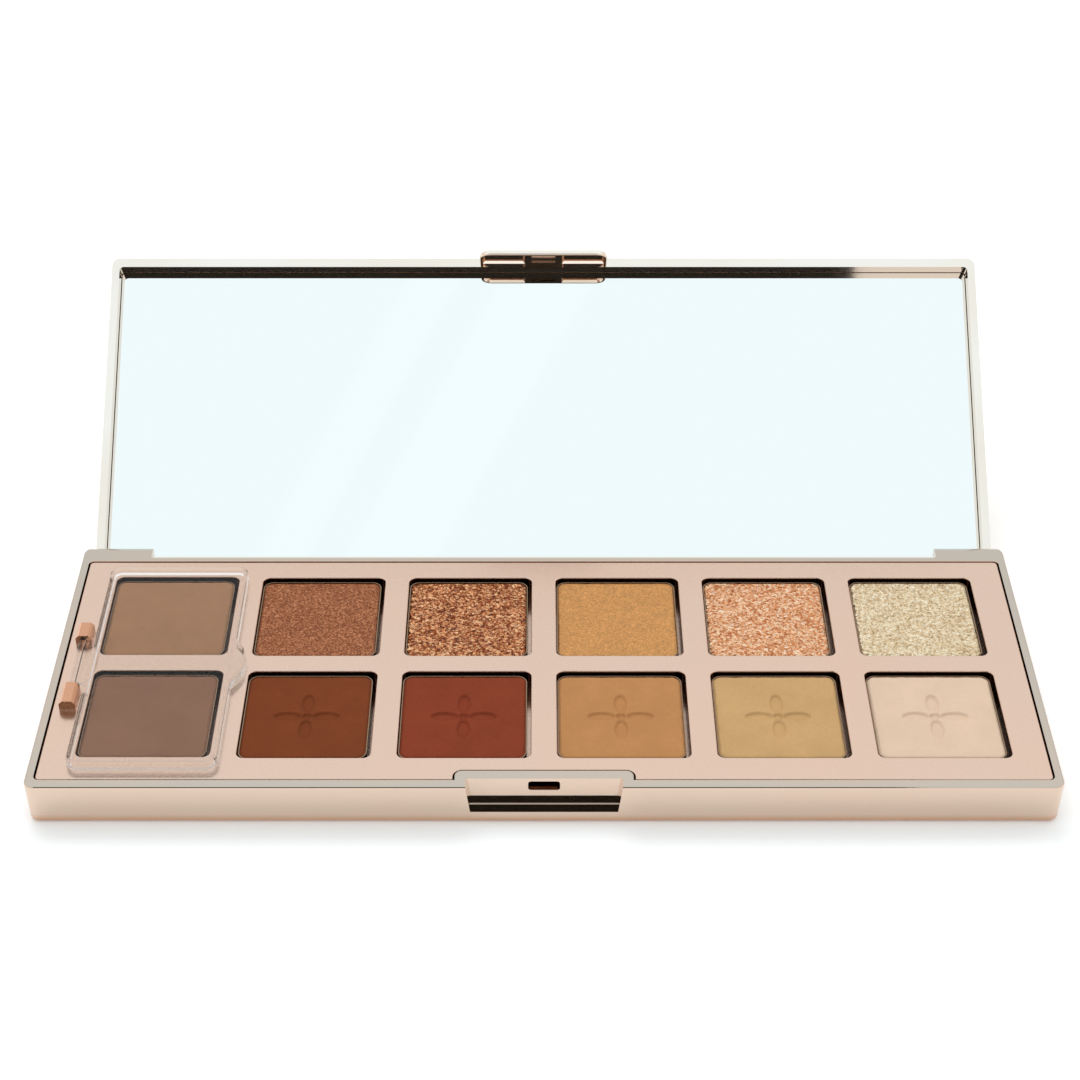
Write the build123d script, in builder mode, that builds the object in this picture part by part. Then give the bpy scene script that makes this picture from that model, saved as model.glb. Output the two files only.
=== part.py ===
from build123d import *

import os

os.makedirs("parts", exist_ok=True)

# Eyeshadow palette: a shallow base with a lift-out tray of twelve pans, and a mirror lid on two hinge pins.
# Millimetres. Origin at the centre of the base's underside, +X to the right, +Y to the hinge, +Z up.

# Base
BASE_W = 172.0
BASE_D = 66.0
BASE_H = 8.2
BASE_DRAFT = 2.0  # degrees, narrower at the foot
BASE_CORNER_R = 1.6
FOOT_FILLET = 1.0
RIM_FILLET = 0.45
FLOOR_T = 1.2
CAVITY_HALF_W = 84.5
CAVITY_FRONT = -31.2
CAVITY_BACK = 28.6
CAVITY_R = 1.0
RIB_H = 1.1
RIB_W = 1.2
RIB_L = 158.0
RIB_OFFSET = 8.0

# Hinge
HINGE_Y = 31.4
HINGE_Z = 5.2
OPEN_ANGLE = 142.75  # from closed to the open stop
CHANNEL_HALF_W = 73.2
CHANNEL_FRONT = 29.6
CHANNEL_FLOOR = 3.45
CHANNEL_CHAMFER = 0.6
RELIEF_R = 3.05  # the lid's back edge swings just outside this
PIN_R = 0.6
PIN_BORE_R = 0.62
PIN_OUTER = 85.6
PIN_INNER = 66.0
KNUCKLE_R = 1.5
KNUCKLE_HALF_W = 72.9
KNUCKLE_BORE_R = 0.66
NECK_FRONT = 29.9
NECK_BACK = 31.1

# Thumb recess and catch
RECESS_HALF_TOP = 13.0
RECESS_HALF_FOOT = 12.3
RECESS_FLOOR = 2.5
RECESS_DEPTH = 2.2
RECESS_FILLET = 0.2
CATCH_WALL_T = 1.9
CATCH_WALL_HALF = 14.8
CATCH_WALL_R = 1.2
SLOT_HALF = 2.65
SLOT_R = 0.5
SLOT_LOW = 5.6
SLOT_HIGH = 7.5

# Tray insert
TRAY_HALF_W = 84.28
TRAY_FRONT = -30.88
TRAY_BACK = 28.52
TRAY_TOP = 8.05
TRAY_T = 1.2
TRAY_R = 0.8
WINDOW = 22.46
WINDOW_R = 1.3
PITCH = 26.89
FRONT_ROW_Y = -14.26
BACK_ROW_Y = 12.54
WELL_WALL = 0.8
WELL_FLOOR_TOP = 3.6
WELL_FLOOR_T = 1.0
NOTCH_HALF = 15.1
NOTCH_R = 1.4
NOTCH_BACK = -28.58
EDGE_FILLET = 0.25

# Pans and pressed powder
PAN = 21.6
PAN_R = 1.8
PAN_WALL = 0.18
PAN_BASE = 3.9
PAN_TOP = 7.4
PAN_SHIFT_X = -0.28  # pans sit a little to the left and front of their wells
PAN_SHIFT_Y = -0.12
GLUE_R = 3.2
SHADE_CLEAR = 0.01
SHADE_TOP = 7.45
SHADE_FILLET = 0.3
PETAL_L = 4.6
PETAL_W = 2.1
PETAL_OFFSET = 3.3
MOTIF_DEPTH = 0.45
MOTIF_CENTRE_R = 0.8

# Flip cover over the two creams
COVER_LEFT = -79.6
COVER_RIGHT = -54.3
COVER_FRONT = -28.7
COVER_BACK = 25.0
COVER_LOW = 8.15
COVER_TOP = 9.9
COVER_PLATE = 0.75
COVER_SKIRT = 0.8
COVER_R = 2.0
THUMB_REACH = 2.1
THUMB_Y = -2.0
THUMB_HALF = 6.2
COVER_AXIS_X = -81.6
COVER_AXIS_Z = 9.3
TONGUE_FRONT = -8.2
TONGUE_BACK = 4.0
TONGUE_R = 0.56
TRUNNION_R = 0.45
TRUNNION_L = 2.0
LUG_LEFT = -83.0
LUG_RIGHT = -80.2
LUG_GAP = 0.2
LUG_FRONT_L = 5.2
LUG_BACK_L = 3.8
LUG_TOP = 10.1
SOCKET_R = 0.5

# Lid, drawn closed and swung open at the end
LID_HALF_W = 84.84
LID_FRONT = -32.12
LID_BACK = 31.1
LID_LOW = 8.4
LID_TOP = 13.2
LID_CORNER_R = 1.5
LID_BACK_FILLET = 3.0
LID_TOP_FILLET = 1.1
LID_RIM_FRONT = 1.8
LID_RIM_SIDE = 1.5
LID_RIM_BACK = 2.0
MIRROR_RECESS = 2.9
MIRROR_T = 1.0
TAPE_T = 0.15
MIRROR_CLEAR = 0.1
POCKET_R = 0.8
TAB_HALF = 12.5
TAB_FRONT = -32.12
TAB_INNER = -31.0
TAB_LOW = 3.9
TAB_HIGH = 10.6
TAB_TIP_FILLET = 0.6
TAB_RIM_FILLET = 0.3
TAB_R = 2.2
CORE_DEPTH = 0.45
CORE_LIP = 0.6
CORE_TAPER = 40
CORE_BLOCK_HALF = 3.65
HOOK_HALF = 2.3
HOOK_LOW = 5.8
HOOK_HIGH = 7.0
HOOK_REACH = 0.7

hinge_axis = Axis((0, HINGE_Y, HINGE_Z), (1, 0, 0))
columns = [(i - 2.5) * PITCH for i in range(6)]
rows = {"front": FRONT_ROW_Y, "back": BACK_ROW_Y}
well_centres = [(x, y) for y in rows.values() for x in columns]
tray_depth = TRAY_BACK - TRAY_FRONT
tray_mid = (TRAY_BACK + TRAY_FRONT) / 2
cavity_depth = CAVITY_BACK - CAVITY_FRONT
cavity_mid = (CAVITY_BACK + CAVITY_FRONT) / 2
recess_back = -BASE_D / 2 + RECESS_DEPTH
catch_back = recess_back + CATCH_WALL_T
base_front = -BASE_D / 2
base_back = BASE_D / 2
foot_inset = 2 * BASE_H * 0.0349


def edges_at_height(part, height):
    """Edges lying wholly at one height."""
    tol = 0.001
    return [e for e in part.edges() if abs(e.bounding_box().min.Z - height) < tol
            and abs(e.bounding_box().max.Z - height) < tol]


# Base shell: a drafted tray with the hinge channel at the back and the thumb recess at the front
with BuildPart() as base_shell:
    with BuildSketch(Plane.XY):
        RectangleRounded(BASE_W - foot_inset, BASE_D - foot_inset, BASE_CORNER_R)
    extrude(amount=BASE_H, taper=-BASE_DRAFT)
    fillet(edges_at_height(base_shell.part, 0), FOOT_FILLET)
    fillet(edges_at_height(base_shell.part, BASE_H), RIM_FILLET)
    with BuildSketch(Plane.XY.offset(FLOOR_T)):
        with Locations((0, cavity_mid)):
            RectangleRounded(2 * CAVITY_HALF_W, cavity_depth, CAVITY_R)
    extrude(amount=BASE_H, mode=Mode.SUBTRACT)
    # wall behind the thumb recess, bulging into the tray
    with BuildSketch(Plane.XY.offset(FLOOR_T)):
        with Locations((0, (base_front + 1 + catch_back) / 2)):
            RectangleRounded(2 * CATCH_WALL_HALF, catch_back - base_front - 1, CATCH_WALL_R)
    extrude(amount=BASE_H - FLOOR_T - 0.05)
    # ribs under the wells
    with BuildSketch(Plane.XY.offset(FLOOR_T)):
        for y in rows.values():
            with Locations((0, y - RIB_OFFSET), (0, y + RIB_OFFSET)):
                Rectangle(RIB_L, RIB_W)
    extrude(amount=RIB_H)
    # thumb recess
    with BuildSketch(Plane.XZ.offset(-base_front + 1)):
        with BuildLine():
            Polyline(
                (-RECESS_HALF_TOP, BASE_H + 1),
                (-RECESS_HALF_TOP, BASE_H),
                (-RECESS_HALF_FOOT, RECESS_FLOOR),
                (RECESS_HALF_FOOT, RECESS_FLOOR),
                (RECESS_HALF_TOP, BASE_H),
                (RECESS_HALF_TOP, BASE_H + 1),
                close=True,
            )
        make_face()
    extrude(amount=-(RECESS_DEPTH + 1), mode=Mode.SUBTRACT)
    corner = base_shell.edges().filter_by(Axis.X).filter_by_position(Axis.Z, RECESS_FLOOR, RECESS_FLOOR)
    fillet(corner.sort_by(Axis.Y)[-1], RECESS_FILLET)
    # catch slot
    with BuildSketch(Plane.XZ.offset(-catch_back - 0.5)):
        with Locations((0, (SLOT_LOW + SLOT_HIGH) / 2)):
            RectangleRounded(2 * SLOT_HALF, SLOT_HIGH - SLOT_LOW, SLOT_R)
    extrude(amount=CATCH_WALL_T + 1, mode=Mode.SUBTRACT)
    # hinge channel, open to the back and above
    with BuildSketch(Plane.YZ.offset(-CHANNEL_HALF_W)):
        with BuildLine():
            Polyline(
                (CHANNEL_FRONT, BASE_H + 1),
                (CHANNEL_FRONT, CHANNEL_FLOOR),
                (base_back - CHANNEL_CHAMFER, CHANNEL_FLOOR),
                (base_back, CHANNEL_FLOOR - CHANNEL_CHAMFER),
                (base_back + 1, CHANNEL_FLOOR - CHANNEL_CHAMFER - 1),
                (base_back + 1, BASE_H + 1),
                close=True,
            )
        make_face()
    extrude(amount=2 * CHANNEL_HALF_W, mode=Mode.SUBTRACT)
    # relief on the corner blocks for the lid's back edge
    with BuildSketch(Plane.YZ.offset(-BASE_W / 2 - 1)):
        with Locations((HINGE_Y + 1.5, HINGE_Z + RELIEF_R)):
            Rectangle(3.0, 2.0)
        with Locations((HINGE_Y, HINGE_Z)):
            Circle(RELIEF_R, mode=Mode.SUBTRACT)
    extrude(amount=BASE_W + 2, mode=Mode.SUBTRACT)
    # pin bores through the corner blocks
    with BuildSketch(Plane.YZ.offset(-BASE_W / 2 - 1)):
        with Locations((HINGE_Y, HINGE_Z)):
            Circle(PIN_BORE_R)
    extrude(amount=BASE_W + 2, mode=Mode.SUBTRACT)
base_shell.part.label = "base_shell"
export_step(base_shell.part, "parts/base_shell.step")

# Hinge pins, pushed in from the two ends
for side, start in (("left", -PIN_OUTER), ("right", PIN_INNER)):
    with BuildPart() as hinge_pin:
        with BuildSketch(Plane.YZ.offset(start)):
            with Locations((HINGE_Y, HINGE_Z)):
                Circle(PIN_R)
        extrude(amount=PIN_OUTER - PIN_INNER)
        chamfer(hinge_pin.edges().filter_by(GeomType.CIRCLE), 0.12)
    hinge_pin.part.label = f"hinge_pin_{side}"
    export_step(hinge_pin.part, f"parts/hinge_pin_{side}.step")

# Tray insert: a plate with twelve hanging wells and the flip cover's two lugs
with BuildPart() as tray_insert:
    with BuildSketch(Plane.XY.offset(TRAY_TOP - TRAY_T)):
        with Locations((0, tray_mid)):
            RectangleRounded(2 * TRAY_HALF_W, tray_depth, TRAY_R)
        with Locations((0, TRAY_FRONT)):
            RectangleRounded(2 * NOTCH_HALF, 2 * (NOTCH_BACK - TRAY_FRONT), NOTCH_R, mode=Mode.SUBTRACT)
    extrude(amount=TRAY_T)
    fillet(edges_at_height(tray_insert.part, TRAY_TOP), EDGE_FILLET)
    with BuildSketch(Plane.XY.offset(WELL_FLOOR_TOP - WELL_FLOOR_T)):
        with Locations(*well_centres):
            RectangleRounded(WINDOW + 2 * WELL_WALL, WINDOW + 2 * WELL_WALL, WINDOW_R + WELL_WALL)
    extrude(amount=TRAY_TOP - TRAY_T / 2 - WELL_FLOOR_TOP + WELL_FLOOR_T)
    with BuildSketch(Plane.XY.offset(WELL_FLOOR_TOP)):
        with Locations(*well_centres):
            RectangleRounded(WINDOW, WINDOW, WINDOW_R)
    extrude(amount=TRAY_TOP, mode=Mode.SUBTRACT)
    outer = TRAY_HALF_W - 1
    fillet([e for e in edges_at_height(tray_insert.part, TRAY_TOP)
            if max(abs(e.center().X), abs(e.bounding_box().max.X)) < outer
            and TRAY_FRONT + 4 < e.center().Y < TRAY_BACK - 2], EDGE_FILLET)
    with BuildSketch(Plane.XZ.offset(-TONGUE_BACK - LUG_GAP)):
        with BuildLine():
            Polyline(
                (LUG_LEFT, TRAY_TOP - 0.2),
                (LUG_RIGHT, TRAY_TOP - 0.2),
                (LUG_RIGHT, LUG_TOP - 0.6),
                (LUG_RIGHT - 0.6, LUG_TOP),
                (LUG_LEFT + 0.6, LUG_TOP),
                (LUG_LEFT, LUG_TOP - 0.6),
                close=True,
            )
        make_face()
    extrude(amount=-LUG_BACK_L)
    with BuildSketch(Plane.XZ.offset(-TONGUE_FRONT + LUG_GAP)):
        with BuildLine():
            Polyline(
                (LUG_LEFT, TRAY_TOP - 0.2),
                (LUG_RIGHT, TRAY_TOP - 0.2),
                (LUG_RIGHT, LUG_TOP - 0.6),
                (LUG_RIGHT - 0.6, LUG_TOP),
                (LUG_LEFT + 0.6, LUG_TOP),
                (LUG_LEFT, LUG_TOP - 0.6),
                close=True,
            )
        make_face()
    extrude(amount=LUG_FRONT_L)
    with BuildSketch(Plane.XZ.offset(-TONGUE_BACK - TRUNNION_L - 0.2)):
        with Locations((COVER_AXIS_X, COVER_AXIS_Z)):
            Circle(SOCKET_R)
    extrude(amount=TONGUE_BACK - TONGUE_FRONT + 2 * TRUNNION_L + 0.4, mode=Mode.SUBTRACT)
tray_insert.part.label = "tray_insert"
export_step(tray_insert.part, "parts/tray_insert.step")

# One spot of glue under each pan
with BuildPart() as glue_dots:
    with BuildSketch(Plane.XY.offset(WELL_FLOOR_TOP)):
        with Locations(*[(x + PAN_SHIFT_X, y + PAN_SHIFT_Y) for x, y in well_centres]):
            Circle(GLUE_R)
    extrude(amount=PAN_BASE - WELL_FLOOR_TOP)
glue_dots.part.label = "glue_dots"
export_step(glue_dots.part, "parts/glue_dots.step")

# Pans and the powder or cream pressed into each
for row, row_y in rows.items():
    for number, column_x in enumerate(columns, start=1):
        x = column_x + PAN_SHIFT_X
        y = row_y + PAN_SHIFT_Y
        with BuildPart() as pan:
            with BuildSketch(Plane.XY.offset(PAN_BASE)):
                with Locations((x, y)):
                    RectangleRounded(PAN, PAN, PAN_R)
            extrude(amount=PAN_TOP - PAN_BASE)
            fillet(edges_at_height(pan.part, PAN_BASE), 0.4)
            with BuildSketch(Plane.XY.offset(PAN_BASE + PAN_WALL)):
                with Locations((x, y)):
                    RectangleRounded(PAN - 2 * PAN_WALL, PAN - 2 * PAN_WALL, PAN_R - PAN_WALL)
            extrude(amount=PAN_TOP, mode=Mode.SUBTRACT)
        pan.part.label = f"pan_{row}_{number}"
        export_step(pan.part, f"parts/pan_{row}_{number}.step")

        shade_side = PAN - 2 * PAN_WALL - 2 * SHADE_CLEAR
        with BuildPart() as shade:
            with BuildSketch(Plane.XY.offset(PAN_BASE + PAN_WALL)):
                with Locations((x, y)):
                    RectangleRounded(shade_side, shade_side, PAN_R - PAN_WALL - SHADE_CLEAR)
            extrude(amount=SHADE_TOP - PAN_BASE - PAN_WALL)
            fillet(edges_at_height(shade.part, SHADE_TOP), SHADE_FILLET)
            if row == "front" and number > 1:
                # four-petal rosette stamped into the powder
                with BuildSketch(Plane.XY.offset(SHADE_TOP - MOTIF_DEPTH)):
                    with Locations((x, y)):
                        Circle(MOTIF_CENTRE_R)
                        with PolarLocations(PETAL_OFFSET, 4):
                            Ellipse(PETAL_L / 2, PETAL_W / 2)
                extrude(amount=1, mode=Mode.SUBTRACT)
        shade.part.label = f"shade_{row}_{number}"
        export_step(shade.part, f"parts/shade_{row}_{number}.step")

# Clear flip cover over the two creams, closed
cover_w = COVER_RIGHT - COVER_LEFT
cover_d = COVER_BACK - COVER_FRONT
cover_x = (COVER_RIGHT + COVER_LEFT) / 2
cover_y = (COVER_BACK + COVER_FRONT) / 2
with BuildPart() as cream_cover:
    with BuildSketch(Plane.XY.offset(COVER_LOW)):
        with Locations((cover_x, cover_y)):
            RectangleRounded(cover_w, cover_d, COVER_R)
        with BuildLine():
            Spline(
                (COVER_RIGHT - 0.3, THUMB_Y - THUMB_HALF),
                (COVER_RIGHT + THUMB_REACH * 0.74, THUMB_Y - THUMB_HALF * 0.5),
                (COVER_RIGHT + THUMB_REACH, THUMB_Y),
                (COVER_RIGHT + THUMB_REACH * 0.74, THUMB_Y + THUMB_HALF * 0.5),
                (COVER_RIGHT - 0.3, THUMB_Y + THUMB_HALF),
            )
            Line((COVER_RIGHT - 0.3, THUMB_Y + THUMB_HALF), (COVER_RIGHT - 0.3, THUMB_Y - THUMB_HALF))
        make_face()
    extrude(amount=COVER_TOP - COVER_LOW)
    fillet(edges_at_height(cream_cover.part, COVER_TOP), 0.5)
    with BuildSketch(Plane.XY.offset(COVER_LOW)):
        with Locations((cover_x, cover_y)):
            RectangleRounded(cover_w - 2 * COVER_SKIRT, cover_d - 2 * COVER_SKIRT, COVER_R - COVER_SKIRT)
    extrude(amount=COVER_TOP - COVER_LOW - COVER_PLATE, mode=Mode.SUBTRACT)
    with BuildSketch(Plane.XY.offset(COVER_TOP - COVER_PLATE)):
        with Locations(((COVER_AXIS_X + COVER_LEFT + 0.5) / 2, (TONGUE_FRONT + TONGUE_BACK) / 2)):
            Rectangle(COVER_LEFT + 0.5 - COVER_AXIS_X, TONGUE_BACK - TONGUE_FRONT)
    extrude(amount=COVER_PLATE - 0.05)
    with BuildSketch(Plane.XZ.offset(-TONGUE_BACK)):
        with Locations((COVER_AXIS_X, COVER_AXIS_Z)):
            Circle(TONGUE_R)
    extrude(amount=TONGUE_BACK - TONGUE_FRONT)
    with BuildSketch(Plane.XZ.offset(-TONGUE_BACK - TRUNNION_L)):
        with Locations((COVER_AXIS_X, COVER_AXIS_Z)):
            Circle(TRUNNION_R)
    extrude(amount=TONGUE_BACK - TONGUE_FRONT + 2 * TRUNNION_L)
cream_cover.part.label = "cream_cover"
export_step(cream_cover.part, "parts/cream_cover.step")

# Lid shell, drawn closed
lid_w = 2 * LID_HALF_W
lid_d = LID_BACK - LID_FRONT
lid_mid = (LID_BACK + LID_FRONT) / 2
pocket_half_w = LID_HALF_W - LID_RIM_SIDE
pocket_front = LID_FRONT + LID_RIM_FRONT
pocket_back = LID_BACK - LID_RIM_BACK
pocket_d = pocket_back - pocket_front
pocket_mid = (pocket_back + pocket_front) / 2
pocket_depth = MIRROR_RECESS + MIRROR_T + TAPE_T
with BuildPart() as lid_shell:
    with BuildSketch(Plane.XY.offset(LID_LOW)):
        with Locations((0, lid_mid)):
            Rectangle(lid_w, lid_d)
    extrude(amount=LID_TOP - LID_LOW)
    fillet(lid_shell.edges().group_by(Axis.Z)[-1].sort_by(Axis.Y)[-1], LID_BACK_FILLET)
    fillet(lid_shell.edges().filter_by(Axis.Z).group_by(Axis.Y)[0], LID_CORNER_R)
    fillet(lid_shell.edges().group_by(Axis.Z)[-1].sort_by(Axis.Y)[0], LID_TOP_FILLET)
    with BuildSketch(Plane.XY.offset(LID_LOW)):
        with Locations((0, pocket_mid)):
            RectangleRounded(2 * pocket_half_w, pocket_d, POCKET_R)
    extrude(amount=pocket_depth, mode=Mode.SUBTRACT)
    # knuckle and the neck that joins it to the back wall
    with BuildSketch(Plane.YZ.offset(-KNUCKLE_HALF_W)):
        with Locations((HINGE_Y, HINGE_Z)):
            Circle(KNUCKLE_R)
    extrude(amount=2 * KNUCKLE_HALF_W)
    with BuildSketch(Plane.YZ.offset(-KNUCKLE_HALF_W)):
        with Locations(((NECK_FRONT + NECK_BACK) / 2, (HINGE_Z + LID_LOW + 0.1) / 2)):
            Rectangle(NECK_BACK - NECK_FRONT, LID_LOW + 0.1 - HINGE_Z)
    extrude(amount=2 * KNUCKLE_HALF_W)
    with BuildSketch(Plane.YZ.offset(-KNUCKLE_HALF_W - 1)):
        with Locations((HINGE_Y, HINGE_Z)):
            Circle(KNUCKLE_BORE_R)
    extrude(amount=2 * KNUCKLE_HALF_W + 2, mode=Mode.SUBTRACT)
    # latch tab on the front
    with BuildSketch(Plane.XZ.offset(-TAB_INNER)):
        with Locations((0, (TAB_LOW + TAB_HIGH) / 2)):
            RectangleRounded(2 * TAB_HALF, TAB_HIGH - TAB_LOW, TAB_R)
    extrude(amount=TAB_INNER - TAB_FRONT)
    tip = [e for e in edges_at_height(lid_shell.part, TAB_LOW) if abs(e.center().Y - TAB_FRONT) < 0.01]
    fillet(tip, TAB_TIP_FILLET)
    rim = [e for e in edges_at_height(lid_shell.part, TAB_LOW) if abs(e.center().Y - TAB_INNER) < 0.01]
    fillet(rim, TAB_RIM_FILLET)
    # two shallow cores with sloping walls leave a block in the middle
    core_out = TAB_HALF - CORE_LIP
    core_low = TAB_LOW + CORE_LIP
    core_r = TAB_R - CORE_LIP
    with BuildSketch(Plane.XZ.offset(-TAB_INNER)):
        for side in (-1, 1):
            with BuildLine():
                Polyline(
                    (side * (core_out - core_r), core_low),
                    (side * CORE_BLOCK_HALF, core_low),
                    (side * CORE_BLOCK_HALF, LID_LOW),
                    (side * core_out, LID_LOW),
                    (side * core_out, core_low + core_r),
                )
                RadiusArc(
                    (side * core_out, core_low + core_r),
                    (side * (core_out - core_r), core_low),
                    side * core_r,
                )
            make_face()
    extrude(amount=CORE_DEPTH, taper=CORE_TAPER, mode=Mode.SUBTRACT)
    # catch hook, pointing into the slot
    with BuildSketch(Plane.YZ.offset(-HOOK_HALF)):
        with BuildLine():
            Polyline(
                (TAB_INNER - 0.2, HOOK_LOW - 0.3),
                (TAB_INNER + HOOK_REACH - 0.3, HOOK_LOW),
                (TAB_INNER + HOOK_REACH, HOOK_LOW + 0.5),
                (TAB_INNER + HOOK_REACH, HOOK_HIGH),
                (TAB_INNER - 0.2, HOOK_HIGH),
                close=True,
            )
        make_face()
    extrude(amount=2 * HOOK_HALF)
lid_open = lid_shell.part.rotate(hinge_axis, -OPEN_ANGLE)
lid_open.label = "lid_shell"
export_step(lid_open, "parts/lid_shell.step")

# Mirror glass and the adhesive sheet behind it
mirror_low = LID_LOW + MIRROR_RECESS
with BuildPart() as mirror:
    with BuildSketch(Plane.XY.offset(mirror_low)):
        with Locations((0, pocket_mid)):
            RectangleRounded(2 * pocket_half_w - 2 * MIRROR_CLEAR, pocket_d - 2 * MIRROR_CLEAR, POCKET_R)
    extrude(amount=MIRROR_T)
mirror_open = mirror.part.rotate(hinge_axis, -OPEN_ANGLE)
mirror_open.label = "mirror"
export_step(mirror_open, "parts/mirror.step")

with BuildPart() as mirror_tape:
    with BuildSketch(Plane.XY.offset(mirror_low + MIRROR_T)):
        with Locations((0, pocket_mid)):
            RectangleRounded(2 * pocket_half_w - 4, pocket_d - 4, POCKET_R)
    extrude(amount=TAPE_T)
tape_open = mirror_tape.part.rotate(hinge_axis, -OPEN_ANGLE)
tape_open.label = "mirror_tape"
export_step(tape_open, "parts/mirror_tape.step")
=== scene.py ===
import math

import bpy
import numpy as np
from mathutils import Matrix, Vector


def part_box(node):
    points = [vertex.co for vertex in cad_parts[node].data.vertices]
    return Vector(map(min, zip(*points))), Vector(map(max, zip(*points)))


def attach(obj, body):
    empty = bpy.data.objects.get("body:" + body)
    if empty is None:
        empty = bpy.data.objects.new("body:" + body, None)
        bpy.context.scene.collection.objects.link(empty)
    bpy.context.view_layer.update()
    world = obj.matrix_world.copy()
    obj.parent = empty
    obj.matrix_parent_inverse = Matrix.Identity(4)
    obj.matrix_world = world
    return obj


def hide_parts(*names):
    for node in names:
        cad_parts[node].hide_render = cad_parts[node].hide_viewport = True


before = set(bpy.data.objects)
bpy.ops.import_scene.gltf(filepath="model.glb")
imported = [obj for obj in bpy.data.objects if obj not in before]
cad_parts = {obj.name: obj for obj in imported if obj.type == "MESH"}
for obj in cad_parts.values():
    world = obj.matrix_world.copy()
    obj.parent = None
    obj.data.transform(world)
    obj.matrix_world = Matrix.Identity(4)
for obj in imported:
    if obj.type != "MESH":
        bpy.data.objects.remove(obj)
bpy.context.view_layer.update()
MM = 0.001
OPEN_ANGLE = math.radians(142.75)
GLASS_NORMAL = (0, -math.sin(OPEN_ANGLE), -math.cos(OPEN_ANGLE))


# ---------- small helpers ----------
def lin(r, g, b):
    """sRGB 0-255 to a linear RGBA tuple."""
    out = []
    for v in (r, g, b):
        v = v / 255
        out.append(v / 12.92 if v <= 0.04045 else ((v + 0.055) / 1.055) ** 2.4)
    return (*out, 1.0)


class Mat:
    """A Principled material with a few short-hands for its nodes."""

    def __init__(self, name, base, rough, metallic=0.0, **sockets):
        self.m = bpy.data.materials.new(name)
        self.m.use_nodes = True
        self.t = self.m.node_tree
        self.b = self.t.nodes["Principled BSDF"]
        self.b.inputs["Base Color"].default_value = base
        self.b.inputs["Roughness"].default_value = rough
        self.b.inputs["Metallic"].default_value = metallic
        for k, v in sockets.items():
            self.b.inputs[k.replace("_", " ")].default_value = v
        self.co = self.t.nodes.new("ShaderNodeTexCoord").outputs["Object"]

    def node(self, kind, **props):
        n = self.t.nodes.new(kind)
        for k, v in props.items():
            if k in n.inputs:
                n.inputs[k].default_value = v
            else:
                setattr(n, k, v)
        return n

    def link(self, a, b):
        self.t.links.new(a, b)

    def noise(self, scale, detail=4.0, rough=0.6, distortion=0.0, vec=None):
        n = self.node("ShaderNodeTexNoise")
        n.inputs["Scale"].default_value = scale
        n.inputs["Detail"].default_value = detail
        n.inputs["Roughness"].default_value = rough
        n.inputs["Distortion"].default_value = distortion
        self.link(vec or self.co, n.inputs["Vector"])
        return n.outputs["Fac"]

    def cells(self, scale, feature="F1", vec=None, randomness=1.0):
        n = self.node("ShaderNodeTexVoronoi", feature=feature)
        n.inputs["Scale"].default_value = scale
        n.inputs["Randomness"].default_value = randomness
        self.link(vec or self.co, n.inputs["Vector"])
        return n

    def ramp(self, fac, *stops):
        n = self.node("ShaderNodeValToRGB")
        e = n.color_ramp.elements
        while len(e) < len(stops):
            e.new(0.5)
        for el, (p, c) in zip(e, stops):
            el.position = p
            el.color = c if not isinstance(c, (int, float)) else (c, c, c, 1)
        self.link(fac, n.inputs["Fac"])
        return n.outputs["Color"]

    def remap(self, fac, a, b, lo=0.0, hi=1.0):
        n = self.node("ShaderNodeMapRange")
        n.inputs["From Min"].default_value = a
        n.inputs["From Max"].default_value = b
        n.inputs["To Min"].default_value = lo
        n.inputs["To Max"].default_value = hi
        self.link(fac, n.inputs["Value"])
        return n.outputs["Result"]

    def mix(self, fac, a, b, kind="MIX"):
        n = self.node("ShaderNodeMix", data_type="RGBA", blend_type=kind)
        for s, v in ((n.inputs["Factor"], fac), (n.inputs[6], a), (n.inputs[7], b)):
            if hasattr(v, "links"):
                self.link(v, s)
            else:
                s.default_value = v
        return n.outputs[2]

    def math(self, op, a, b=0.0):
        n = self.node("ShaderNodeMath", operation=op)
        for s, v in ((n.inputs[0], a), (n.inputs[1], b)):
            if hasattr(v, "links"):
                self.link(v, s)
            else:
                s.default_value = v
        return n.outputs[0]

    def bump(self, height, strength, distance, normal=None):
        n = self.node("ShaderNodeBump")
        n.inputs["Strength"].default_value = strength
        n.inputs["Distance"].default_value = distance
        self.link(height, n.inputs["Height"])
        if normal:
            self.link(normal, n.inputs["Normal"])
        return n.outputs["Normal"]

    def to(self, socket, out):
        self.link(out, self.b.inputs[socket])


def paint(node, mat):
    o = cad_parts[node]
    o.data.materials.clear()
    o.data.materials.append(mat.m)


# ---------- materials of the mouldings ----------
RIPPLE = 0.015
TRAY_TOP = 8.02 * MM


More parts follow.
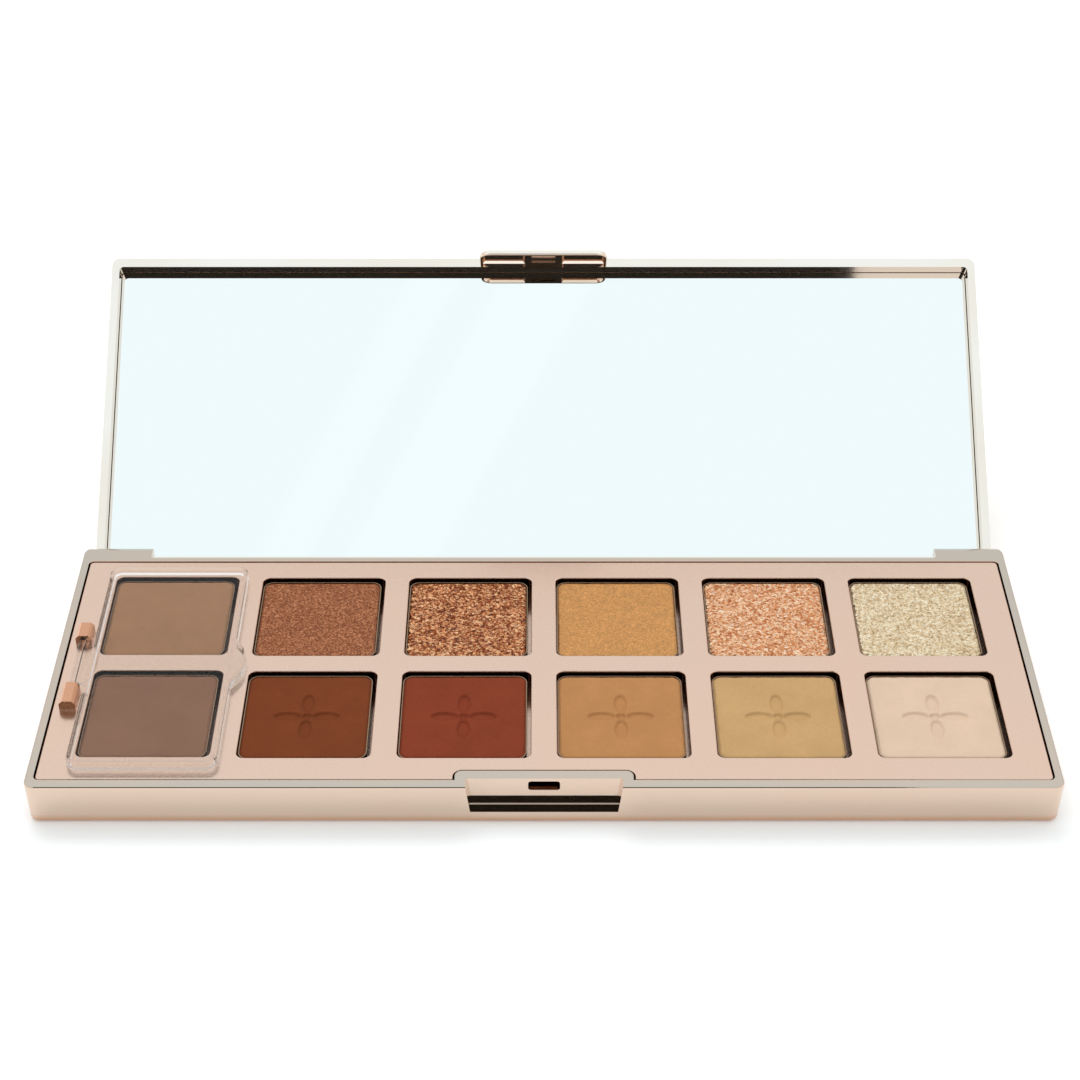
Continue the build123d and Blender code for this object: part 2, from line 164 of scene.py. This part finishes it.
def plated(name, face, edge, rough, scale, foot=None, deep=None, amount=0.35, crest=None, axis=(0, 0, 1)):
    """Vacuum-metallised plastic with soft orange-peel and slight clouding.

    Faces along axis take the edge colour and the others the face colour: a painted reflection that makes each
    side lighter or darker by the way it faces. foot paints a warmer reflection on the lowest 2 mm, deep
    paints shade on the walls below the tray's top, and crest paints a copper reflection on what stands above
    it.
    """
    m = Mat(name, face, rough, metallic=1.0)
    normal = m.node("ShaderNodeTexCoord").outputs["Normal"]
    along = m.node("ShaderNodeVectorMath", operation="DOT_PRODUCT")
    along.inputs[1].default_value = axis
    m.link(normal, along.inputs[0])
    # painted reflection: faces along axis take the edge colour, the others the face colour
    up = m.remap(along.outputs["Value"], 0.55, 0.95)
    cloud = m.noise(scale, 3, 0.5)
    base = m.mix(up, face, edge)
    warm = tuple(min(1, v * k) for v, k in zip(face[:3], (1.03, 0.94, 0.88))) + (1,)
    c = m.mix(m.remap(cloud, 0.42, 0.72, 0, amount), base, warm)
    # painted shade: the walls below the tray's top take the dark deep colour, as shade inside the wells
    if deep:
        pos = m.node("ShaderNodeSeparateXYZ")
        m.link(m.co, pos.inputs[0])
        well_wall_shade = m.math("MULTIPLY", m.remap(pos.outputs["Z"], TRAY_TOP, 7.7 * MM), m.math("SUBTRACT", 1.0, up))
        c = m.mix(well_wall_shade, c, deep)
        # painted reflection: what stands above the tray's top (the cover's lugs) takes the copper crest
        # colour
        c = m.mix(m.remap(pos.outputs["Z"], 8.2 * MM, 8.5 * MM), c, crest)
    # painted reflection: a warmer tint over the lowest 2 mm of the shell
    if foot:
        pos = m.node("ShaderNodeSeparateXYZ")
        m.link(m.co, pos.inputs[0])
        c = m.mix(m.remap(pos.outputs["Z"], 1.9 * MM, 0.3 * MM, 0, 0.9), c, foot)
    m.to("Base Color", c)
    fine = m.noise(9000, 2, 0.5)
    m.to("Roughness", m.remap(fine, 0.3, 0.7, rough * 0.85, rough * 1.2))
    m.to("Normal", m.bump(m.noise(500, 2, 0.5), RIPPLE, 0.0002))
    return m


# shell: the greyer edge colour on top-facing faces is a painted reflection, foot a painted warmer reflection
# low down
champagne = plated("champagne plated", lin(221, 197, 179), lin(197, 189, 178), 0.07, 28,
                   foot=lin(203, 154, 112), amount=0.2)
# lid: the near-white edge colour on faces along the mirror's normal is a painted reflection
lid_plate = plated("champagne plated lid", lin(234, 211, 190), lin(252, 244, 236), 0.07, 24,
                   axis=GLASS_NORMAL)
# tray: edge is a painted reflection on top faces, deep painted shade in the wells, crest a painted copper
# reflection
rose = plated("rose gold plated", lin(236, 200, 178), lin(224, 198, 181), 0.24, 30,
              deep=lin(104, 64, 44), amount=0.14, crest=lin(214, 162, 130))
steel = Mat("steel", lin(196, 196, 198), 0.22, metallic=1.0)
steel.to("Roughness", steel.remap(steel.noise(2500), 0.3, 0.7, 0.15, 0.3))
pan_metal = Mat("tinned pan", lin(150, 124, 102), 0.35, metallic=1.0)
# painted shade and painted highlight: the pans' side faces are dark brown, as shade in the gap round each
# pan, and the top-facing rim is lighter
side = pan_metal.node("ShaderNodeSeparateXYZ")
pan_metal.link(pan_metal.node("ShaderNodeTexCoord").outputs["Normal"], side.inputs[0])
pan_lit_top = pan_metal.remap(side.outputs["Z"], 0.3, 0.8)
pan_metal.to("Base Color", pan_metal.mix(pan_lit_top, lin(62, 44, 34), lin(150, 124, 102)))
pan_metal.to("Roughness", pan_metal.remap(pan_metal.noise(1800), 0.3, 0.7, 0.2, 0.4))
glue = Mat("glue", lin(228, 224, 210), 0.5)
glue.to("Base Color", glue.mix(glue.noise(900), lin(220, 214, 196), lin(234, 230, 218)))
tape = Mat("foam tape", lin(60, 60, 62), 0.9)
tape.to("Base Color", tape.mix(tape.noise(1500), lin(48, 48, 50), lin(72, 72, 74)))
silver = Mat("silvered glass", lin(250, 252, 252), 0.015, metallic=1.0)
flat = silver.node("ShaderNodeVectorMath", operation="DOT_PRODUCT")
flat.inputs[1].default_value = GLASS_NORMAL
silver.link(silver.node("ShaderNodeTexCoord").outputs["Normal"], flat.inputs[0])
polished = silver.remap(silver.math("ABSOLUTE", flat.outputs["Value"]), 0.5, 0.8)
silver.to("Base Color", silver.mix(polished, lin(206, 214, 208), lin(250, 252, 252)))
silver.to("Metallic", polished)
glow = silver.remap(silver.noise(60), 0.4, 0.8, 0.008, 0.03)
silver.to("Roughness", silver.mix(polished, (0.5, 0.5, 0.5, 1), glow))
clear = Mat("clear moulding", (0.965, 0.96, 0.955, 1), 0.03, Transmission_Weight=1.0, IOR=1.18)
scuff = clear.noise(300, 2, 0.6)
clear.to("Roughness", clear.remap(scuff, 0.55, 0.8, 0.015, 0.08))

paint("base_shell", champagne)
paint("lid_shell", lid_plate)
paint("tray_insert", rose)
paint("hinge_pin_left", steel)
paint("hinge_pin_right", steel)
paint("glue_dots", glue)
paint("mirror", silver)
paint("mirror_tape", tape)
paint("cream_cover", clear)
for row in ("front", "back"):
    for i in range(1, 7):
        paint(f"pan_{row}_{i}", pan_metal)


# ---------- the fillings ----------
def matte(name, dark, mid, light, relief=0.35):
    """Pressed powder: fine grain, soft mottling, a few darker specks."""
    m = Mat(name, mid, 0.92, Specular_IOR_Level=0.22)
    grain = m.noise(5200, 3, 0.65)
    cloud = m.noise(210, 3, 0.55)
    c = m.mix(m.remap(cloud, 0.35, 0.7), dark, light)
    c = m.mix(0.68, c, mid)
    c = m.mix(m.remap(grain, 0.4, 0.75, 0, 0.55), c, light)
    c = m.mix(m.remap(m.noise(2600, 3, 0.7), 0.52, 0.7, 0, 0.5), c, dark)
    speck = m.cells(620)
    c = m.mix(m.remap(speck.outputs["Distance"], 0.05, 0.13, 0.35, 0.0), c, dark)
    m.to("Base Color", c)
    n = m.bump(m.noise(7500, 2, 0.6), relief, 0.00004)
    m.to("Normal", m.bump(m.noise(800, 3, 0.6), relief * 0.85, 0.0001, n))
    return m


def satin(name, dark, mid, light, metallic=0.55):
    """Satin powder: dense tiny pearl particles that catch the light."""
    m = Mat(name, mid, 0.5, metallic=metallic)
    cell = m.cells(5000)
    pick = m.node("ShaderNodeSeparateColor")
    m.link(cell.outputs["Color"], pick.inputs[0])
    c = m.ramp(pick.outputs[0], (0.0, dark), (0.5, mid), (1.0, light))
    c = m.mix(m.remap(m.noise(600, 4, 0.6), 0.4, 0.7, 0, 0.35), c, dark)
    m.to("Base Color", c)
    m.to("Roughness", m.remap(pick.outputs[1], 0, 1, 0.35, 0.6))
    n = m.bump(pick.outputs[2], 0.3, 0.00004)
    m.to("Normal", m.bump(m.noise(900, 3, 0.6), 0.35, 0.00012, n))
    return m


def glitter(name, scale, stops, tilt, rough=0.28, metallic=0.85):
    """Glitter: flakes in cells, each with its own colour and its own tilt."""
    m = Mat(name, stops[1][1], rough, metallic=metallic)
    wob = m.noise(scale * 0.6, 2, 0.5)
    cell = m.cells(scale)
    small = m.cells(scale * 2.1)
    pick = m.node("ShaderNodeSeparateColor")
    m.link(cell.outputs["Color"], pick.inputs[0])
    pick2 = m.node("ShaderNodeSeparateColor")
    m.link(small.outputs["Color"], pick2.inputs[0])
    coarse = m.math("MULTIPLY", pick.outputs[0], 0.62)
    both = m.math("ADD", coarse, m.math("MULTIPLY", pick2.outputs[0], 0.38))
    both = m.math("ADD", both, m.remap(wob, 0.3, 0.7, -0.12, 0.12))
    both = m.math("ADD", both, m.remap(m.noise(scale * 0.22, 3, 0.7), 0.3, 0.7, -0.13, 0.13))
    m.to("Base Color", m.ramp(both, *stops))
    m.to("Roughness", m.remap(pick.outputs[1], 0, 1, rough * 0.6, rough * 1.7))
    # every flake leans its own way
    off = m.node("ShaderNodeVectorMath", operation="SUBTRACT")
    off.inputs[1].default_value = (0.5, 0.5, 0.5)
    m.link(cell.outputs["Color"], off.inputs[0])
    sc = m.node("ShaderNodeVectorMath", operation="SCALE")
    sc.inputs["Scale"].default_value = tilt
    m.link(off.outputs[0], sc.inputs[0])
    ad = m.node("ShaderNodeVectorMath", operation="ADD")
    m.link(m.node("ShaderNodeNewGeometry").outputs["Normal"], ad.inputs[0])
    m.link(sc.outputs[0], ad.inputs[1])
    no = m.node("ShaderNodeVectorMath", operation="NORMALIZE")
    m.link(ad.outputs[0], no.inputs[0])
    m.to("Normal", no.outputs[0])
    return m


def tri(c, k=0.16):
    """Darker, given and lighter version of one sRGB colour."""
    d = lin(*[v * (1 - k) for v in c])
    u = lin(*[min(255, v * (1 + k * 0.6) + 4) for v in c])
    return d, lin(*c), u


fills = {
    # painted light: this cream is coloured brighter than its own colour, in place of the key light that the
    # clear cover keeps off it
    "front_1": matte("cream grey brown", *tri((164, 119, 94), 0.08), relief=0.06),
    "front_2": matte("powder brown", *tri((119, 58, 28), 0.1)),
    "front_3": matte("powder brick", *tri((130, 56, 32), 0.1)),
    "front_4": matte("powder tan", *tri((185, 130, 81), 0.08)),
    "front_5": matte("powder khaki", *tri((197, 157, 107), 0.07)),
    "front_6": matte("powder beige", *tri((221, 192, 167), 0.05)),
    # painted light: this cream is coloured brighter than its own colour, in place of the key light that the
    # clear cover keeps off it
    "back_1": matte("cream beige", *tri((190, 141, 105), 0.07), relief=0.06),
    "back_2": satin("satin brown", lin(114, 57, 26), lin(148, 83, 47), lin(212, 143, 98)),
    "back_3": glitter("copper glitter", 2900,
                      [(0.1, lin(78, 28, 8)), (0.36, lin(142, 66, 28)),
                       (0.62, lin(212, 138, 88)), (0.95, lin(255, 212, 166))], 0.85),
    "back_4": satin("satin gold", *tri((208, 149, 87), 0.14)),
    "back_5": glitter("peach glitter", 3000,
                      [(0.08, lin(168, 88, 46)), (0.34, lin(208, 130, 78)),
                       (0.62, lin(242, 184, 136)), (0.95, lin(255, 236, 212))], 0.85, 0.32, 0.6),
    "back_6": glitter("champagne glitter", 3200,
                      [(0.05, lin(160, 128, 84)), (0.35, lin(212, 184, 144)),
                       (0.65, lin(238, 216, 180)), (1.0, lin(255, 250, 232))], 0.75, 0.32, 0.6),
}


def smooth(x):
    x = np.clip(x, 0, 1)
    return x * x * (3 - 2 * x)


def wavy(x, y, seed, scale):
    """Cheap smooth noise in -1..1 from a few sines."""
    r = np.random.default_rng(seed)
    out = 0
    for k in range(6):
        a, b, c = r.uniform(-1, 1, 3)
        out = out + np.sin((a * x + b * y) * scale * (1 + 0.5 * k) + 6.28 * c)
    return out / 6


# the cakes' shape, in millimetres
CORNER_R = 1.53
CENTRE_R = 0.8
PETAL_OFFSET = 3.3
PETAL_LONG = 2.3
PETAL_SHORT = 1.05
STAMP_DEPTH = 0.42
STAMP_SOFT = 0.26


def shade(key):
    """One filling: a closed cake with a soft, uneven edge and, on five of them, the stamped rosette."""
    node = "shade_" + key
    lo, hi = (Vector(v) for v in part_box(node))
    cx, cy = (lo.x + hi.x) / 2, (lo.y + hi.y) / 2
    half = (hi.x - lo.x) / 2
    radius = CORNER_R * MM
    stamped = key.startswith("front") and key != "front_1"
    seed = sum(map(ord, key))
    n = 150 if stamped else 72
    t = np.linspace(-1, 1, n)
    t = np.sign(t) * (1 - (1 - np.abs(t)) ** 1.12)
    u, v = np.meshgrid(t, t, indexing="xy")
    # pull the square's corners in to the rounded outline
    big = np.maximum(np.abs(u), np.abs(v))
    small = np.minimum(np.abs(u), np.abs(v))
    r = radius / half
    k = np.where(big > 0, small / np.maximum(big, 1e-9), 0)
    c = 1 - r
    a_, b_, c_ = 1 + k * k, -2 * c * (1 + k), 2 * c * c - r * r
    arc = (-b_ + np.sqrt(np.maximum(b_ * b_ - 4 * a_ * c_, 0))) / (2 * a_)
    edge = np.where(k > c, arc, 1.0)
    x, y = u * edge * half, v * edge * half
    # distance in from the outline
    qx, qy = np.abs(x) - (half - radius), np.abs(y) - (half - radius)
    inside = -(np.hypot(np.maximum(qx, 0), np.maximum(qy, 0)) + np.minimum(np.maximum(qx, qy), 0) - radius)
    inside = np.maximum(inside, 0)
    xm, ym = x / MM, y / MM
    wear = 0.5 + 0.5 * wavy(xm, ym, seed, 1.1) + 0.35 * wavy(xm, ym, seed + 1, 4.0)
    width = (0.34 + 0.16 * np.clip(wear, 0, 1)) * MM
    drop = (1 - smooth(inside / width)) * (0.16 + 0.1 * np.clip(wear, 0, 1)) * MM
    chip = np.clip(wavy(xm, ym, seed + 2, 3.2) - 0.52, 0, 1) * 0.9 * MM * (1 - smooth(inside / (0.7 * MM)))
    z = -drop - chip * (0.35 if stamped else 0.2)
    z = z + 0.012 * MM * wavy(xm, ym, seed + 3, 0.7)
    if stamped:
        dist = np.hypot(xm, ym) - CENTRE_R
        for q in range(4):
            ca, sa = math.cos(q * math.pi / 2), math.sin(q * math.pi / 2)
            px, py = xm * ca + ym * sa - PETAL_OFFSET, -xm * sa + ym * ca
            e = np.hypot(px / PETAL_LONG, py / PETAL_SHORT)
            dist = np.minimum(dist, (e - 1) * PETAL_SHORT)
        z = z - STAMP_DEPTH * MM * smooth(0.5 - dist / STAMP_SOFT)
    z = hi.z - 0.004 * MM + np.minimum(z, 0)
    top = np.stack([cx + x, cy + y, z], -1).reshape(-1, 3)
    verts = [tuple(p) for p in top]
    idx = np.arange(n * n).reshape(n, n)
    faces = [(int(idx[j, i]), int(idx[j, i + 1]), int(idx[j + 1, i + 1]), int(idx[j + 1, i]))
             for j in range(n - 1) for i in range(n - 1)]
    ring = list(idx[0, :-1]) + list(idx[:-1, -1]) + list(idx[-1, :0:-1]) + list(idx[:0:-1, 0])
    ring = [int(i) for i in ring]
    last = ring
    for depth in (0.5, 1.0):
        start = len(verts)
        for i in ring:
            px, py, pz = top[i]
            verts.append((px, py, pz + (lo.z - pz) * depth))
        now = list(range(start, start + len(ring)))
        for q in range(len(ring)):
            w = (q + 1) % len(ring)
            faces.append((last[w], last[q], now[q], now[w]))
        last = now
    faces.append(tuple(reversed(last)))
    me = bpy.data.meshes.new(node + "_cake")
    me.from_pydata(verts, [], faces)
    me.polygons.foreach_set("use_smooth", [True] * (len(faces) - 1) + [False])
    me.materials.append(fills[key].m)
    me.update()
    o = bpy.data.objects.new(node + "_cake", me)
    bpy.context.scene.collection.objects.link(o)
    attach(o, "base")
    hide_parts(node)
    return o


for key in fills:
    shade(key)


# ---------- stage ----------
def card(name, at, size, look=None, color=(1, 1, 1, 1), strength=0.0):
    """A flat matte board of the stage, or a glowing one when it has a strength. Gives its material."""
    bpy.ops.mesh.primitive_plane_add(size=1, location=at)
    o = bpy.context.object
    o.name = name
    o.scale = (size[0], size[1], 1)
    if look:
        o.rotation_euler = (Vector(look) - Vector(at)).to_track_quat("Z", "Y").to_euler()
    bpy.ops.object.transform_apply(location=False, rotation=False, scale=True)
    m = Mat(name, color, 0.9)
    m.b.inputs["Specular IOR Level"].default_value = 0.0
    if strength:
        m.b.inputs["Emission Color"].default_value = color
        m.b.inputs["Emission Strength"].default_value = strength
        m.b.inputs["Base Color"].default_value = (0, 0, 0, 1)
    o.data.materials.append(m.m)
    return m


floor_mat = card("floor", (0, 0, -0.00005), (6, 6), color=(0.96, 0.96, 0.96, 1))
floor_mat.b.inputs["Emission Color"].default_value = (1, 1, 1, 1)
floor_mat.b.inputs["Emission Strength"].default_value = 0.16
cam_at = Vector((-0.00068, -0.31013, 0.26477))
pitch = math.radians(36.61)
# the overhead board is pale blue, with two faint slanting bands that are a little brighter
sky_mat = card("overhead", (0, -0.3, 0.9), (1.9, 1.5), look=(0, -0.3, 0),
               color=(0.90, 0.985, 1.0, 1), strength=1.0)
streak = sky_mat.node("ShaderNodeSeparateXYZ")
sky_mat.link(sky_mat.co, streak.inputs[0])
slant = sky_mat.math("ADD", streak.outputs["X"], sky_mat.math("MULTIPLY", streak.outputs["Y"], 0.55))
bands = sky_mat.ramp(sky_mat.remap(slant, -0.403, 0.597),
                     (0.0, 1.0), (0.455, 1.0), (0.462, 1.022), (0.51, 1.022), (0.517, 1.0),
                     (0.535, 1.0), (0.54, 1.018), (0.565, 1.018), (0.572, 1.0))
sky_mat.to("Emission Strength", bands)
view_dir = Vector((0, math.cos(pitch), -math.sin(pitch)))
behind = cam_at - view_dir * 0.03 + Vector((-0.032, 0, 0))
card("dark card", behind, (0.323, 0.24), look=tuple(cam_at + view_dir), color=(0.02, 0.018, 0.016, 1))
world = bpy.data.worlds.new("studio")
world.use_nodes = True
wt = world.node_tree
wt.nodes["Background"].inputs["Color"].default_value = (1, 1, 1, 1)
wco = wt.nodes.new("ShaderNodeTexCoord")
wsep = wt.nodes.new("ShaderNodeSeparateXYZ")
wmap = wt.nodes.new("ShaderNodeMapRange")
wt.links.new(wco.outputs["Generated"], wsep.inputs[0])
wt.links.new(wsep.outputs["Z"], wmap.inputs["Value"])
for k, v in (("From Min", 0.5), ("From Max", 0.76), ("To Min", 0.9), ("To Max", 1.1)):
    wmap.inputs[k].default_value = v
wt.links.new(wmap.outputs["Result"], wt.nodes["Background"].inputs["Strength"])
bpy.context.scene.world = world


def area(name, at, look, size, power, color=(1, 1, 1)):
    li = bpy.data.lights.new(name, "AREA")
    li.shape = "RECTANGLE"
    li.size, li.size_y = size
    li.energy = power
    li.color = color
    o = bpy.data.objects.new(name, li)
    o.location = at
    o.rotation_euler = (Vector(look) - Vector(at)).to_track_quat("-Z", "Y").to_euler()
    o.visible_glossy = False
    o.visible_transmission = False
    bpy.context.scene.collection.objects.link(o)


area("key", (-0.15, 0.45, 0.75), (0, 0, 0), (0.6, 0.4), 2.2)

cam = bpy.data.cameras.new("camera")
cam.sensor_width = 36
cam.lens = 2283.56 * 36 / 1080
cam.clip_start = 0.01
cam_o = bpy.data.objects.new("camera", cam)
cam_o.location = cam_at
cam_o.rotation_euler = (math.pi / 2 - pitch, 0, 0)
bpy.context.scene.collection.objects.link(cam_o)
bpy.context.scene.camera = cam_o
bpy.context.scene.view_settings.view_transform = "Standard"
